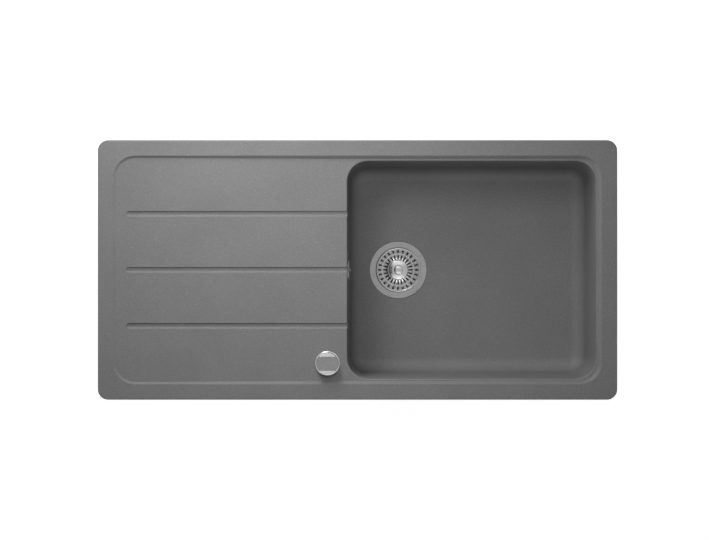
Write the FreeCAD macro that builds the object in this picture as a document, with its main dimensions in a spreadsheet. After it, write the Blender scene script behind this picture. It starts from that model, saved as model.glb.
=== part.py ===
import FreeCAD, Part
import math
import os
import re

import Sketcher

# Inset kitchen sink of granite composite: one bowl on the right, a grooved drainer on the left, a basket
# waste worked by a rotary knob, an overflow and eight fixing clips.
# Millimetres. +X runs from the drainer to the bowl, +Y to the back edge, +Z up. The origin is the middle of
# the rim's outline on the worktop's surface, so the rim stands above z = 0 and all the rest hangs below it.

Vector = FreeCAD.Vector
Rotation = FreeCAD.Rotation
doc = FreeCAD.newDocument("kitchen_sink")

# ---------------------------------------------------------------------------------------------------------
# Driving dimensions, and the places and outlines that several pieces share
# ---------------------------------------------------------------------------------------------------------
SIZES = (
    # rim and recessed tray
    ("rim_length", 1000),
    ("rim_width", 500),
    ("rim_thick", 8),
    ("rim_corner", 20),
    ("rim_edge", 3),
    ("rim_border", 30),
    ("tray_depth", 7),
    ("bevel_width", 6),
    ("tray_corner", 42),
    ("pan_depth", 9),
    ("drainer_fall", 2.5),
    # cut-out in the worktop, with the skirt and ribs that hang in it
    ("cutout_margin", 10),
    ("cutout_corner", 15),
    ("skirt_gap", 4),
    ("skirt_thick", 6),
    ("skirt_depth", 13),
    ("rib_thick", 6),
    ("rib_count", 3),
    ("rib_pitch", 115),
    # drainer grooves
    ("groove_count", 3),
    ("groove_pitch", 108),
    ("groove_width", 11.5),
    ("groove_depth", 4),
    ("groove_inset", 24),
    # bowl
    ("bowl_length", 480),
    ("bowl_ledge", 4),
    ("bowl_depth", 198),
    ("bowl_corner", 40),
    ("bowl_draft", 2),
    ("bowl_wall", 8),
    ("bowl_floor", 11),
    ("bowl_fall", 0.7),
    ("bowl_round", 28),
    ("bowl_lip", 2.5),
    # waste in the bowl's floor
    ("waste_inset", 102),
    ("waste_hole", 90),
    ("flange_width", 114),
    ("flange_play", 1),
    ("flange_sink", 4),
    ("lip_rise", 0.3),
    ("sheet_thick", 1.5),
    ("seal_thick", 2),
    ("cup_mouth", 85),
    ("cup_base", 76),
    ("cup_depth", 30),
    ("valve_bore", 48),
    ("spider_arm", 5),
    ("hub_radius", 10),
    ("hub_length", 10),
    ("screw_bore", 6),
    ("screw_head", 9),
    ("head_rise", 2.5),
    ("head_edge", 1),
    # basket
    ("basket_play", 1),
    ("basket_base", 62),
    ("basket_depth", 23),
    ("basket_sheet", 1),
    ("crown_width", 26),
    ("crown_round", 18),
    ("crown_height", 9),
    ("dome_width", 42),
    ("valley_round", 1.5),
    ("slot_count", 24),
    ("slot_width", 2.8),
    ("hole_rows", 2),
    ("hole_width", 4),
    ("hole_pitch", 7),
    ("grip_radius", 7),
    ("grip_height", 12),
    ("plug_radius", 14),
    ("plug_rise", 0.5),
    ("seal_rise", 4),
    ("seal_lip", 5),
    # waste body, lift pin and cam
    ("pin_lift", 9),
    ("pin_radius", 3),
    ("foot_radius", 9),
    ("foot_thick", 3),
    ("body_wall", 3.5),
    ("body_flange", 120),
    ("chamber_bore", 66),
    ("outlet_thread", 47.8),
    ("outlet_wall", 3.4),
    ("outlet_length", 26),
    ("shaft_radius", 4),
    ("cam_base", 5),
    ("cam_width", 10),
    ("cam_room", 7),
    ("cone_height", 8),
    ("boss_reach", 47),
    ("boss_radius", 9),
    ("bush_radius", 5.5),
    ("run_gap", 0.05),
    ("free_gap", 0.3),
    # remote control
    ("knob_inset", 38),
    ("knob_back", 180),
    ("knob_hole", 35),
    ("washer_brim", 8),
    ("seat_play", 0.5),
    ("knob_width", 40),
    ("knob_height", 20),
    ("knob_grip", 25),
    ("knob_scoop", 14),
    ("knob_edge", 1.2),
    ("rosette_width", 47),
    ("rosette_height", 4),
    ("rosette_edge", 1.5),
    ("barrel_radius", 10),
    ("barrel_length", 22.5),
    ("spindle_radius", 5),
    ("nut_height", 7),
    ("drum_radius", 14),
    ("drum_thick", 8),
    ("drum_groove", 2),
    ("case_wall", 2.5),
    ("case_play", 1.8),
    ("case_depth", 24),
    ("cable_bore", 6),
    ("gland_reach", 14),
    ("gland_brim", 2),
    ("lid_screw", 1.5),
    # overflow
    ("overflow_drop", 46),
    ("overflow_hole", 32),
    ("overflow_face", 45),
    ("overflow_rise", 4.5),
    ("overflow_slots", 8),
    ("overflow_play", 1.5),
    ("hub_drop", 8),
    ("hub_bar", 2),
    ("pipe_width", 20),
    ("pipe_wall", 1.5),
    ("pipe_bend", 26),
    ("elbow_bend", 16),
    ("elbow_drop", 36),
    ("inlet_drop", 58),
    ("slip_gap", 2.5),
    ("nut_wall", 3.5),
    ("nut_base", 3),
    ("nut_length", 12),
    # fixing clips
    ("clip_pitch", 360),
    ("clip_inset", 11),
    ("clip_boss", 14),
    ("insert_width", 9),
    ("insert_length", 11),
    ("screw_radius", 3),
    ("screw_grip", 5),
    ("claw_drop", 34),
    ("claw_reach", 34),
    ("claw_width", 14),
    ("claw_sheet", 3),
    ("claw_tooth", 12),
    ("claw_notch", 2.4),
    ("screw_hexagon", 4),
    ("clip_travel", 18),
)

DERIVED = (
    ("tray_length", "rim_length - 2 * rim_border"),
    ("tray_width", "rim_width - 2 * rim_border"),
    ("tray_z", "rim_thick - tray_depth"),
    ("cutout_length", "rim_length - 2 * cutout_margin"),
    ("cutout_width", "rim_width - 2 * cutout_margin"),
    ("skirt_length", "cutout_length - 2 * skirt_gap"),
    ("skirt_width", "cutout_width - 2 * skirt_gap"),
    ("skirt_corner", "cutout_corner - skirt_gap"),
    ("skirt_z", "-pan_depth - skirt_depth"),
    ("bowl_width", "tray_width - 2 * bevel_width - 2 * bowl_ledge"),
    ("bowl_right", "tray_length / 2 - bevel_width - bowl_ledge"),
    ("bowl_left", "bowl_right - bowl_length"),
    ("bowl_x", "bowl_right - bowl_length / 2"),
    ("bowl_z", "rim_thick - bowl_depth"),
    ("bowl_under", "bowl_z - bowl_floor"),
    ("waste_x", "bowl_left + waste_inset"),
    ("knob_x", "bowl_left - knob_inset"),
    ("knob_z", "tray_z - 0.5"),
    ("clip_x", "cutout_length / 2 - clip_inset"),
    ("clip_y", "cutout_width / 2 - clip_inset"),
    ("overflow_z", "tray_z - overflow_drop"),
    ("overflow_top", "overflow_drop - overflow_face / 2 - overflow_play"),
    ("overflow_in", "bowl_left + overflow_top * tan(bowl_draft * 1deg)"),
    ("overflow_out", "bowl_left - bowl_wall - 1"),
    ("shelf_z", "-cup_depth - sheet_thick - seal_thick"),
    ("foot_z", "shelf_z - hub_length - 1 - pin_lift"),
    ("cam_z", "foot_z - foot_thick - free_gap - cam_base"),
    ("chamber_z", "cam_z - cam_base - cam_room"),
    ("outlet_z", "chamber_z - cone_height - outlet_length"),
    ("pipe_x", "overflow_out - seal_thick - body_wall - 4 - elbow_bend"),
    ("inlet_x", "waste_x - body_flange / 2 + 6"),
    ("case_side", "2 * (drum_radius + case_play + case_wall)"),
)

sheet = doc.addObject("Spreadsheet::Sheet", "size")
for row, (name, content) in enumerate(SIZES + DERIVED, 1):
    sheet.set(f"A{row}", name)
    sheet.set(f"B{row}", f"={content}" if isinstance(content, str) else str(content))
    sheet.setAlias(f"B{row}", name)
doc.recompute()
ALIASES = {name for name, content in SIZES + DERIVED}


# ---------------------------------------------------------------------------------------------------------
# How the pieces are drawn
# ---------------------------------------------------------------------------------------------------------
def link(expression):
    """The expression as an object's property takes it, with every size read from the sheet."""
    return re.sub(r"[a-z_]\w*", lambda word: f"size.{word[0]}" if word[0] in ALIASES else word[0], expression)


def measure(expression):
    """The expression's value now, in millimetres, degrees or a plain count."""
    found = sheet.evalExpression(link(expression).replace("size.", ""))
    return float(getattr(found, "Value", found))


def new_body(label, x="0", y="0", z="0", turn=Rotation()):
    """A piece of the sink, placed by three expressions."""
    made = doc.addObject("PartDesign::Body", label)
    made.Label = label
    made.Placement = FreeCAD.Placement(Vector(), turn)
    for axis, expression in zip("xyz", (x, y, z)):
        made.setExpression(f"Placement.Base.{axis}", link(expression))
    return made


def new_sketch(body, plane="XY_Plane", offset="0", pitch="0"):
    """An empty sketch on one of the body's planes, raised along its normal and pitched about its Y axis."""
    made = body.newObject("Sketcher::SketchObject", f"{body.Name}_sketch")
    made.AttachmentSupport = ([face for face in body.Origin.OriginFeatures if face.Role == plane][0], [""])
    made.MapMode = "FlatFace"
    made.AttachmentOffset = FreeCAD.Placement(Vector(), Rotation(Vector(0, 1, 0), measure(pitch)))
    made.setExpression("AttachmentOffset.Base.z", link(offset))
    return made


def hold(sketch, geometry, point, x, y):
    """Hold a point of the sketch at two dimensions from its origin."""
    for kind, expression in (("DistanceX", x), ("DistanceY", y)):
        constraint = Sketcher.Constraint(kind, -1, 1, geometry, point, measure(expression))
        index = sketch.addConstraint(constraint)
        sketch.setExpression(f"Constraints[{index}]", link(expression))


def hold_radius(sketch, geometry, radius):
    """Give an arc or circle of the sketch its radius."""
    index = sketch.addConstraint(Sketcher.Constraint("Radius", geometry, measure(radius)))
    sketch.setExpression(f"Constraints[{index}]", link(radius))


def add_polygon(sketch, corners):
    """A closed outline of straight lines through corners given as pairs of expressions."""
    places = [Vector(measure(x), measure(y), 0) for x, y in corners]
    lines = [sketch.addGeometry(Part.LineSegment(a, b)) for a, b in zip(places, places[1:] + places[:1])]
    for line, following in zip(lines, lines[1:] + lines[:1]):
        sketch.addConstraint(Sketcher.Constraint("Coincident", line, 2, following, 1))
    for line, (x, y) in zip(lines, corners):
        hold(sketch, line, 1, x, y)


def add_circle(sketch, radius, x="0", y="0"):
    """A circle about a point given by two expressions."""
    middle = Vector(measure(x), measure(y), 0)
    circle = sketch.addGeometry(Part.Circle(middle, Vector(0, 0, 1), measure(radius)))
    hold(sketch, circle, 3, x, y)
    hold_radius(sketch, circle, radius)


def add_rounded(sketch, length, width, corner, x="0", y="0"):
    """A rectangle with round corners about a point given by two expressions."""
    radius = measure(corner)
    reach_x = measure(length) / 2 - radius
    reach_y = measure(width) / 2 - radius
    arcs = []
    for quarter, (side_x, side_y) in enumerate(((1, 1), (-1, 1), (-1, -1), (1, -1))):
        centre = Vector(measure(x) + side_x * reach_x, measure(y) + side_y * reach_y, 0)
        start = quarter * math.pi / 2
        circle = Part.Circle(centre, Vector(0, 0, 1), radius)
        arcs.append(sketch.addGeometry(Part.ArcOfCircle(circle, start, start + math.pi / 2)))
        hold(sketch, arcs[-1], 3, f"({x}) + {side_x} * (({length}) / 2 - ({corner}))",
             f"({y}) + {side_y} * (({width}) / 2 - ({corner}))")
        hold_radius(sketch, arcs[-1], corner)
    join_arcs(sketch, arcs)


def add_box_outline(sketch, left, right, front, back):
    """A rectangle between two X and two Y expressions."""
    add_polygon(sketch, ((left, front), (right, front), (right, back), (left, back)))


def join_arcs(sketch, arcs):
    """Straight lines from the end of each arc to the start of the next, tangent to both."""
    shapes = [sketch.Geometry[arc] for arc in arcs]
    for arc, following, shape, next_shape in zip(arcs, arcs[1:] + arcs[:1], shapes, shapes[1:] + shapes[:1]):
        line = sketch.addGeometry(Part.LineSegment(shape.EndPoint, next_shape.StartPoint))
        sketch.addConstraint(Sketcher.Constraint("Tangent", arc, 2, line, 1))
        sketch.addConstraint(Sketcher.Constraint("Tangent", line, 2, following, 1))


def add_sector(sketch, inner, outer, half_arm):
    """A quarter of a ring between two radii, cut back by half an arm's width along both axes."""
    near, far, gap = measure(inner), measure(outer), measure(half_arm)
    arcs = []
    for radius in (near, far):
        start = math.asin(gap / radius)
        circle = Part.Circle(Vector(), Vector(0, 0, 1), radius)
        arcs.append(sketch.addGeometry(Part.ArcOfCircle(circle, start, math.pi / 2 - start)))
        hold(sketch, arcs[-1], 3, "0", "0")
    hold_radius(sketch, arcs[0], inner)
    hold_radius(sketch, arcs[1], outer)
    low, high = (sketch.Geometry[arc] for arc in arcs)
    along = sketch.addGeometry(Part.LineSegment(low.StartPoint, high.StartPoint))
    up = sketch.addGeometry(Part.LineSegment(low.EndPoint, high.EndPoint))
    for line, end in ((along, 1), (up, 2)):
        sketch.addConstraint(Sketcher.Constraint("Coincident", line, 1, arcs[0], end))
        sketch.addConstraint(Sketcher.Constraint("Coincident", line, 2, arcs[1], end))
    sketch.addConstraint(Sketcher.Constraint("Horizontal", along))
    sketch.addConstraint(Sketcher.Constraint("Vertical", up))
    for kind, line in (("DistanceY", along), ("DistanceX", up)):
        index = sketch.addConstraint(Sketcher.Constraint(kind, -1, 1, line, 1, gap))
        sketch.setExpression(f"Constraints[{index}]", link(half_arm))


def add_round_ended(sketch, start, end, radius):
    """Half the outline of a round-ended bar on the sketch's X axis: the round end is centred on the start."""
    first, last, reach = measure(start), measure(end), measure(radius)
    circle = Part.Circle(Vector(first, 0, 0), Vector(0, 0, 1), reach)
    arc = sketch.addGeometry(Part.ArcOfCircle(circle, math.pi / 2, math.pi))
    places = [Vector(x, y, 0) for x, y in ((first - reach, 0), (last, 0), (last, reach), (first, reach))]
    lines = [sketch.addGeometry(Part.LineSegment(a, b)) for a, b in zip(places, places[1:])]
    sketch.addConstraint(Sketcher.Constraint("Coincident", arc, 2, lines[0], 1))
    sketch.addConstraint(Sketcher.Constraint("Coincident", lines[0], 2, lines[1], 1))
    sketch.addConstraint(Sketcher.Constraint("Coincident", lines[1], 2, lines[2], 1))
    sketch.addConstraint(Sketcher.Constraint("Tangent", lines[2], 2, arc, 1))
    sketch.addConstraint(Sketcher.Constraint("Vertical", lines[1]))
    sketch.addConstraint(Sketcher.Constraint("Horizontal", lines[0]))
    hold(sketch, arc, 3, start, "0")
    hold(sketch, lines[0], 2, end, "0")
    hold_radius(sketch, arc, radius)


def settle(*items):
    """Work the objects out now, so that what follows can read their shapes."""
    for item in items:
        item.recompute()
        item.purgeTouched()


def add_feature(body, kind, profile, **settings):
    """A feature of the body on a sketch, its settings given as expressions or as plain values."""
    made = body.newObject(f"PartDesign::{kind}", f"{body.Name}_{kind.lower()}")
    made.Profile = (profile, [""])
    for name, setting in settings.items():
        if isinstance(setting, str) and name not in ("Type", "SideType"):
            made.setExpression(name, link(setting))
        else:
            setattr(made, name, setting)
    settle(profile, made)
    return made


def pad(body, profile, length, **settings):
    return add_feature(body, "Pad", profile, Length=length, **settings)


def pocket(body, profile, length, **settings):
    return add_feature(body, "Pocket", profile, Length=length, **settings)


def spin(body, profile, kind="Revolution", axis="V_Axis"):
    """A full turn of the sketch about one of its own axes."""
    return add_feature(body, kind, profile, ReferenceAxis=(profile, [axis]), Angle=360)


def dress(body, kind, wanted, **settings):
    """A fillet or chamfer on the edges of the body so far that the test picks out."""
    base = body.Tip
    edges = [f"Edge{i}" for i, edge in enumerate(base.Shape.Edges, 1) if wanted(edge)]
    made = body.newObject(f"PartDesign::{kind}", f"{body.Name}_{kind.lower()}")
    made.Base = (base, edges)
    for name, setting in settings.items():
        made.setExpression(name, link(setting))
    settle(made)
    return made


def polar(body, feature, count):
    """Repeat a feature round the body's Z axis."""
    made = body.newObject("PartDesign::PolarPattern", f"{body.Name}_pattern")
    made.Originals = [feature]
    made.Axis = ([line for line in body.Origin.OriginFeatures if line.Role == "Z_Axis"][0], [""])
    made.Angle = 360
    made.setExpression("Occurrences", link(count))
    body.Tip = made
    settle(made)
    return made


def turned(label, corners, x="0", y="0", z="0", turn=Rotation()):
    """A round piece: a closed outline of (radius, height) turned about the body's Z axis."""
    made = new_body(label, x, y, z, turn)
    profile = new_sketch(made, "XZ_Plane")
    add_polygon(profile, corners)
    spin(made, profile)
    return made


def level(edge, z):
    """True of an edge that lies wholly at one height."""
    box = edge.BoundBox
    return abs(box.ZMin - z) < 0.01 and abs(box.ZMax - z) < 0.01


# ---------------------------------------------------------------------------------------------------------
# The casting
# ---------------------------------------------------------------------------------------------------------
def clip_places():
    """Name, X and Y of each clip, and the way that its stowed claw points."""
    places = []
    for side, y in (("front", "-clip_y"), ("back", "clip_y")):
        for name, x, along in (("left", "-clip_pitch", 0), ("middle", "0", 0), ("right", "clip_pitch", 180)):
            places.append((f"{side}_{name}", x, y, along))
    places.append(("left_end", "-clip_x", "0", 90))
    places.append(("right_end", "clip_x", "0", 90))
    return places


def make_bowl_space():
    """The room inside the bowl: drafted walls with a round foot, and a floor that falls to the waste."""
    space = new_body("bowl_space")
    profile = new_sketch(space, offset="tray_z")
    add_rounded(profile, "bowl_length", "bowl_width", "bowl_corner", "bowl_x")
    pad(space, profile, "tray_z - bowl_z + bowl_wall", Reversed=True, TaperAngle="-bowl_draft")
    profile = new_sketch(space, "XZ_Plane")
    left = "bowl_z - waste_inset * tan(bowl_fall * 1deg)"
    right = "bowl_z + (bowl_right - waste_x) * tan(bowl_fall * 1deg)"
    add_polygon(profile, (
        ("bowl_left", left),
        ("bowl_left", "bowl_z - 2 * bowl_wall"),
        ("bowl_right", "bowl_z - 2 * bowl_wall"),
        ("bowl_right", right),
    ))
    pocket(space, profile, "bowl_width", SideType="Symmetric")
    dress(space, "Fillet", lambda edge: edge.BoundBox.ZMax < measure(right), Radius="bowl_round")
    return space


def cut_space(body, space):
    """Take a tool body's room out of the body."""
    settle(space)
    made = body.newObject("PartDesign::Boolean", f"{body.Name}_boolean")
    made.Type = "Cut"
    made.setObjects([space])
    settle(made)


def on_bowl_lip(edge):
    """True of the edges round the bowl's mouth."""
    box = edge.BoundBox
    inside = box.XMin > measure("bowl_left") - 0.1 and box.XMax < measure("bowl_right") + 0.1
    inside = inside and max(box.YMax, -box.YMin) < measure("bowl_width") / 2 + 0.1
    return inside and level(edge, measure("tray_z"))


def make_sink_body():
    bowl_space = make_bowl_space()
    sink = new_body("sink_body")

    # rim slab on the worktop, and the pan that hangs in the cut-out
    profile = new_sketch(sink)
    add_rounded(profile, "rim_length", "rim_width", "rim_corner")
    pad(sink, profile, "rim_thick")
    dress(sink, "Fillet", lambda edge: level(edge, measure("rim_thick")), Radius="rim_edge")
    profile = new_sketch(sink)
    add_rounded(profile, "skirt_length", "skirt_width", "skirt_corner")
    pad(sink, profile, "pan_depth", Reversed=True)

    # bowl's outside, drafted, with a round foot
    profile = new_sketch(sink, offset="-pan_depth")
    add_rounded(profile, "bowl_length + 2 * bowl_wall", "bowl_width + 2 * bowl_wall",
                "bowl_corner + bowl_wall", "bowl_x")
    pad(sink, profile, "-bowl_under - pan_depth", Reversed=True, TaperAngle="-bowl_draft")
    dress(sink, "Fillet", lambda edge: level(edge, measure("bowl_under")),
          Radius="bowl_round + bowl_wall / 2")

    # underside: skirt along the edge of the cut-out, ribs under the drainer, a boss for each clip
    profile = new_sketch(sink, offset="-pan_depth")
    add_rounded(profile, "skirt_length", "skirt_width", "skirt_corner")
    add_rounded(profile, "skirt_length - 2 * skirt_thick", "skirt_width - 2 * skirt_thick",
                "skirt_corner - skirt_thick")
    pad(sink, profile, "skirt_depth", Reversed=True)
    profile = new_sketch(sink, offset="-pan_depth")
    add_box_outline(profile, "-skirt_length / 2 + skirt_thick / 2", "bowl_left - bowl_wall / 2",
                    "-rib_thick / 2", "rib_thick / 2")
    pad(sink, profile, "skirt_depth", Reversed=True)
    for rib in range(round(measure("rib_count"))):
        middle = f"bowl_left - bowl_wall - {rib + 1} * rib_pitch"
        profile = new_sketch(sink, offset="-pan_depth")
        add_box_outline(profile, f"{middle} - rib_thick / 2", f"{middle} + rib_thick / 2",
                        "-skirt_width / 2 + skirt_thick / 2", "skirt_width / 2 - skirt_thick / 2")
        pad(sink, profile, "skirt_depth", Reversed=True)
    bosses = new_sketch(sink, offset="-pan_depth")
    sockets = new_sketch(sink, offset="skirt_z")
    screw_rooms = new_sketch(sink, offset="skirt_z")
    for name, x, y, along in clip_places():
        add_circle(bosses, "clip_boss / 2", x, y)
        add_circle(sockets, "insert_width / 2", x, y)
        add_circle(screw_rooms, "screw_radius + free_gap", x, y)
    pad(sink, bosses, "skirt_depth", Reversed=True)
    pocket(sink, sockets, "insert_length", Reversed=True)
    pocket(sink, screw_rooms, "screw_grip + clip_travel + 1", Reversed=True)

    # recessed tray with a bevelled wall, and the wedge that makes the drainer fall towards the bowl
    profile = new_sketch(sink, offset="rim_thick")
    add_rounded(profile, "tray_length", "tray_width", "tray_corner")
    pocket(sink, profile, "tray_depth", TaperAngle="-atan(bevel_width / tray_depth)")
    profile = new_sketch(sink, "XZ_Plane")
    add_polygon(profile, (
        ("bowl_left - 2 * bowl_lip", "tray_z"),
        ("bowl_left - 2 * bowl_lip", "tray_z - 1"),
        ("-tray_length / 2 - bevel_width", "tray_z - 1"),
        ("-tray_length / 2 - bevel_width", "tray_z + drainer_fall"),
    ))
    pad(sink, profile, "tray_width", SideType="Symmetric")

    # outer seat of the overflow, then the bowl and its rounded lip
    profile = new_sketch(sink, "YZ_Plane", "overflow_out")
    add_circle(profile, "overflow_face / 2 + overflow_play", "0", "overflow_z")
    pad(sink, profile, "bowl_wall / 2")
    cut_space(sink, bowl_space)
    dress(sink, "Fillet", on_bowl_lip, Radius="bowl_lip")

    # grooves of the drainer, round in section, with a round end, running out into the bowl
    profile_radius = "((groove_width / 2) ^ 2 + groove_depth ^ 2) / (2 * groove_depth)"
    crease = "(bowl_left - 2 * bowl_lip)"
    slope = f"atan(drainer_fall / (tray_length / 2 + bevel_width + {crease}))"
    for groove in range(round(measure("groove_count"))):
        rise = f"{crease} * tan({slope}) - groove_depth + {profile_radius}"
        profile = new_sketch(sink, offset=f"tray_z + {rise}", pitch=slope)
        y = f"({groove} - (groove_count - 1) / 2) * groove_pitch"
        profile.setExpression("AttachmentOffset.Base.y", link(y))
        add_round_ended(profile, "-tray_length / 2 + groove_inset + groove_width / 2",
                        "bowl_left + groove_width", profile_radius)
        spin(sink, profile, "Groove", "H_Axis")

    # seats and holes: knob, tap knock-out, waste and overflow
    knob_seat = new_sketch(sink, offset="knob_z")
    add_circle(knob_seat, "rosette_width / 2 + seat_play", "knob_x", "-knob_back")
    pocket(sink, knob_seat, "tray_depth", Reversed=True)
    profile = new_sketch(sink, offset="knob_z")
    add_circle(profile, "knob_hole / 2", "knob_x", "-knob_back")
    pocket(sink, profile, "2 * pan_depth")
    profile = new_sketch(sink, offset="-pan_depth")
    add_circle(profile, "knob_hole / 2", "knob_x", "knob_back")
    pocket(sink, profile, "pan_depth - 3", Reversed=True)
    profile = new_sketch(sink, offset="bowl_z - flange_sink")
    add_circle(profile, "flange_width / 2 + flange_play", "waste_x")
    pocket(sink, profile, "2 * bowl_floor", Reversed=True)
    profile = new_sketch(sink, offset="bowl_z")
    add_circle(profile, "waste_hole / 2", "waste_x")
    pocket(sink, profile, "2 * bowl_floor")
    profile = new_sketch(sink, "YZ_Plane", "overflow_in")
    add_circle(profile, "overflow_face / 2 + seat_play", "0", "overflow_z")
    pocket(sink, profile, "bowl_wall", Reversed=True)
    profile = new_sketch(sink, "YZ_Plane", "overflow_in")
    add_circle(profile, "overflow_hole / 2", "0", "overflow_z")
    pocket(sink, profile, "3 * bowl_wall")
    return sink


# ---------------------------------------------------------------------------------------------------------
# Waste: flange, seals, body and centre screw. Heights count from the bowl's floor.
# ---------------------------------------------------------------------------------------------------------
def waste_piece(label, corners):
    """A round piece on the waste's axis."""
    return turned(label, corners, "waste_x", "0", "bowl_z")


def ring(inner, outer, low, high):
    """Outline of a flat ring, as expressions."""
    return ((inner, low), (outer, low), (outer, high), (inner, high))


def make_waste():
    seat = "-flange_sink"
    brim = "-flange_sink + seal_thick"
    cup = "-cup_depth - sheet_thick"
    waste_piece("flange_seal", ring("waste_hole / 2 + 1", "flange_width / 2 - 1", seat, brim))

    # pressed dish: brim, bright lip, cup, and a floor that is cut out round the hub
    flange = waste_piece("waste_flange", (
        ("flange_width / 2", brim),
        ("flange_width / 2", f"{brim} + sheet_thick"),
        ("cup_mouth / 2 + 2 * sheet_thick", f"{brim} + sheet_thick"),
        ("cup_mouth / 2 + sheet_thick", "lip_rise"),
        ("cup_mouth / 2", "lip_rise"),
        ("cup_base / 2", "-cup_depth"),
        ("screw_bore", "-cup_depth"),
        ("screw_bore", cup),
        ("cup_base / 2 + sheet_thick", cup),
        ("cup_mouth / 2 + sheet_thick", brim),
    ))
    profile = new_sketch(flange, offset="-cup_depth")
    add_sector(profile, "hub_radius", "valve_bore / 2", "spider_arm / 2")
    polar(flange, pocket(flange, profile, "2 * sheet_thick"), "4")

    waste_piece("cup_seal", ring("valve_bore / 2 + 3", "cup_base / 2 - 1", "shelf_z", cup))
    waste_piece("waste_gasket", ring("waste_hole / 2 + 1.5", "body_flange / 2 - 2",
                                     "-bowl_floor - seal_thick", "-bowl_floor"))
    make_waste_body()
    waste_piece("centre_screw", (
        ("pin_radius + run_gap", "-cup_depth + head_rise"),
        ("screw_head - head_edge", "-cup_depth + head_rise"),
        ("screw_head", "-cup_depth + head_rise - head_edge"),
        ("screw_head", "-cup_depth"),
        ("screw_bore - run_gap", "-cup_depth"),
        ("screw_bore - run_gap", "shelf_z - hub_length"),
        ("pin_radius + run_gap", "shelf_z - hub_length"),
    ))


def make_waste_body():
    """Moulded cup under the floor: outlet below, overflow inlet to the left, the shaft's boss in front."""
    top = "-bowl_floor - seal_thick"
    cup = "waste_hole / 2 + 1"
    spigot = "outlet_thread / 2"
    body = waste_piece("waste_body", (
        (cup, top),
        ("body_flange / 2", top),
        ("body_flange / 2", f"{top} - body_wall"),
        (f"{cup} + body_wall", f"{top} - body_wall"),
        (f"{cup} + body_wall", "shelf_z - body_wall"),
        ("chamber_bore / 2 + body_wall", "shelf_z - 2 * body_wall"),
        ("chamber_bore / 2 + body_wall", "chamber_z"),
        (spigot, "chamber_z - cone_height"),
        (spigot, "outlet_z"),
        (f"{spigot} - outlet_wall", "outlet_z"),
        (f"{spigot} - outlet_wall", "chamber_z - cone_height"),
        ("chamber_bore / 2", "chamber_z"),
        ("chamber_bore / 2", "shelf_z - body_wall"),
        ("valve_bore / 2 + 2", "shelf_z - body_wall"),
        ("valve_bore / 2 + 2", "shelf_z"),
        (cup, "shelf_z"),
    ))
    inside = "(chamber_bore / 2 - 5)"
    inlet = "(waste_x - inlet_x)"
    pipe = "pipe_width / 2 + slip_gap"

    # overflow inlet and the boss that carries the shaft, both cleared out of the chamber
    profile = new_sketch(body, "YZ_Plane", f"-{inlet}")
    add_circle(profile, f"{pipe} + body_wall / 2", "0", "-inlet_drop")
    pad(body, profile, f"{inlet} - {inside}")
    profile = new_sketch(body, "XZ_Plane", "boss_reach")
    add_circle(profile, "boss_radius", "0", "cam_z")
    pad(body, profile, f"boss_reach - {inside}", Reversed=True)
    profile = new_sketch(body, offset="chamber_z")
    add_circle(profile, "chamber_bore / 2")
    pocket(body, profile, "shelf_z - body_wall - chamber_z", Reversed=True)
    profile = new_sketch(body, "YZ_Plane", f"-{inlet}")
    add_circle(profile, pipe, "0", "-inlet_drop")
    pocket(body, profile, f"{inlet} - {inside} + 3", Reversed=True)
    profile = new_sketch(body, "XZ_Plane", "boss_reach")
    add_circle(profile, "bush_radius", "0", "cam_z")
    pocket(body, profile, f"boss_reach - {inside}")

    # hub in the middle on four ribs
    profile = new_sketch(body, offset="shelf_z - hub_length")
    add_box_outline(profile, "hub_radius - 1", "chamber_bore / 2 + body_wall / 2", "-spider_arm / 2",
                    "spider_arm / 2")
    arm = pad(body, profile, "hub_length - body_wall")
    profile = new_sketch(body, offset="shelf_z - hub_length")
    add_circle(profile, "hub_radius")
    polar(body, arm, "4")
    pad(body, profile, "hub_length")
    profile = new_sketch(body, offset="shelf_z")
    add_circle(profile, "screw_bore")
    pocket(body, profile, "2 * hub_length")
    return body


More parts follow.
